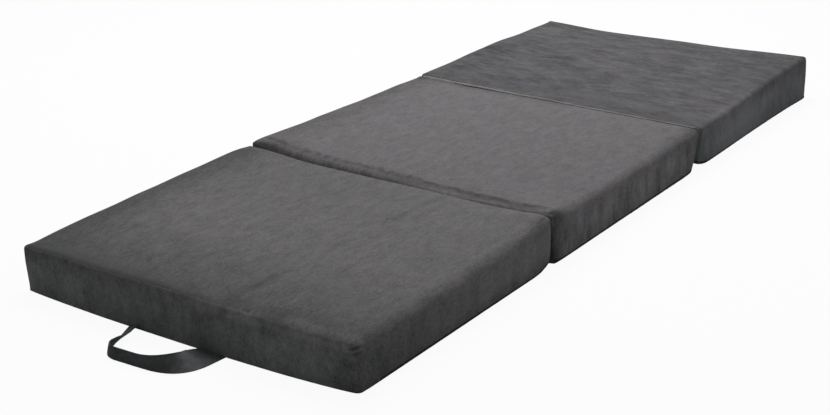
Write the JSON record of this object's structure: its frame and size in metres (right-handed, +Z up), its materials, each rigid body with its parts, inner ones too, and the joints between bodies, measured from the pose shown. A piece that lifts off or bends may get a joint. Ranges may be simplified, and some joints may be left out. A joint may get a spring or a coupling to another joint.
{
  "type": "folding mattress",
  "caption": "Flat folding guest mattress: crowned foam cushions in zipped velour covers, joined by fold seams so they stack, with a strap loop to carry it.",
  "frame": {"origin": "middle of the middle section's underside, on the floor", "axes": "+X across the width, with the zips at -X; +Y along the length from the handle end to the rear end; +Z up from the underside to the sleeping surface"},
  "size_m": [0.7277, 2.011, 0.0963],
  "materials": {
    "velour": "matt short-pile velour, charcoal grey",
    "memory_foam": "matt open-cell foam, pale cream",
    "support_foam": "matt open-cell foam, off-white",
    "zip_tape": "woven polyester, dark grey",
    "zip_coil": "satin nylon, dark grey",
    "zip_metal": "satin lacquer, dark grey",
    "seam_binding": "velour rubbed pale along the seam",
    "strap_webbing": "soft folded strap, dark grey"
  },
  "bodies": {
    "middle": {"middle_wrap_panel": "velour", "middle_near_panel": "velour", "middle_far_panel": "velour", "middle_bottom_panel": "velour", "middle_memory_foam": "memory_foam", "middle_support_foam": "support_foam", "middle_zip_tapes": "zip_tape", "middle_zip_coil": "zip_coil", "middle_zip_stops": "zip_metal", "front_fold_seam": "velour", "rear_fold_seam": "seam_binding"},
    "front": {"front_wrap_panel": "velour", "front_near_panel": "velour", "front_far_panel": "velour", "front_bottom_panel": "velour", "front_memory_foam": "memory_foam", "front_support_foam": "support_foam", "front_zip_tapes": "zip_tape", "front_zip_coil": "zip_coil", "front_zip_stops": "zip_metal", "handle_tabs": "strap_webbing"},
    "rear": {"rear_wrap_panel": "velour", "rear_near_panel": "velour", "rear_far_panel": "velour", "rear_bottom_panel": "velour", "rear_memory_foam": "memory_foam", "rear_support_foam": "support_foam", "rear_zip_tapes": "zip_tape", "rear_zip_coil": "zip_coil", "rear_zip_stops": "zip_metal"},
    "handle": {"handle_strap": "strap_webbing"},
    "front_slider": {"front_zip_slider": "zip_metal"},
    "front_pull": {"front_zip_pull": "zip_metal"},
    "middle_slider": {"middle_zip_slider": "zip_metal"},
    "middle_pull": {"middle_zip_pull": "zip_metal"},
    "rear_slider": {"rear_zip_slider": "zip_metal"},
    "rear_pull": {"rear_zip_pull": "zip_metal"}
  },
  "joints": [
    {"name": "front_fold", "type": "hinge", "parent": "middle", "child": "front", "pos_m": [0, -0.3175, 0], "axis": [1, 0, 0], "range_deg": [-4, 177]},
    {"name": "rear_fold", "type": "hinge", "parent": "middle", "child": "rear", "pos_m": [0, 0.3175, 0.09325], "axis": [1, 0, 0], "range_deg": [-4, 177]},
    {"name": "handle_swing", "type": "hinge", "parent": "front", "child": "handle", "pos_m": [-0.005, -0.951, 0.0018], "axis": [-1, 0, 0], "range_deg": [0, 50]},
    {"name": "front_zip_slide", "type": "slide", "parent": "front", "child": "front_slider", "axis": [0, 1, 0], "range_m": [0, 0.528]},
    {"name": "front_pull_swing", "type": "hinge", "parent": "front_slider", "child": "front_pull", "pos_m": [-0.3645, -0.8992, 0.048], "axis": [0, 0, 1], "range_deg": [0, 180]},
    {"name": "middle_zip_slide", "type": "slide", "parent": "middle", "child": "middle_slider", "axis": [0, 1, 0], "range_m": [0, 0.528]},
    {"name": "middle_pull_swing", "type": "hinge", "parent": "middle_slider", "child": "middle_pull", "pos_m": [-0.3645, -0.2642, 0.048], "axis": [0, 0, 1], "range_deg": [0, 180]},
    {"name": "rear_zip_slide", "type": "slide", "parent": "rear", "child": "rear_slider", "axis": [0, 1, 0], "range_m": [0, 0.528]},
    {"name": "rear_pull_swing", "type": "hinge", "parent": "rear_slider", "child": "rear_pull", "pos_m": [-0.3645, 0.3708, 0.048], "axis": [0, 0, 1], "range_deg": [0, 180]}
  ]
}
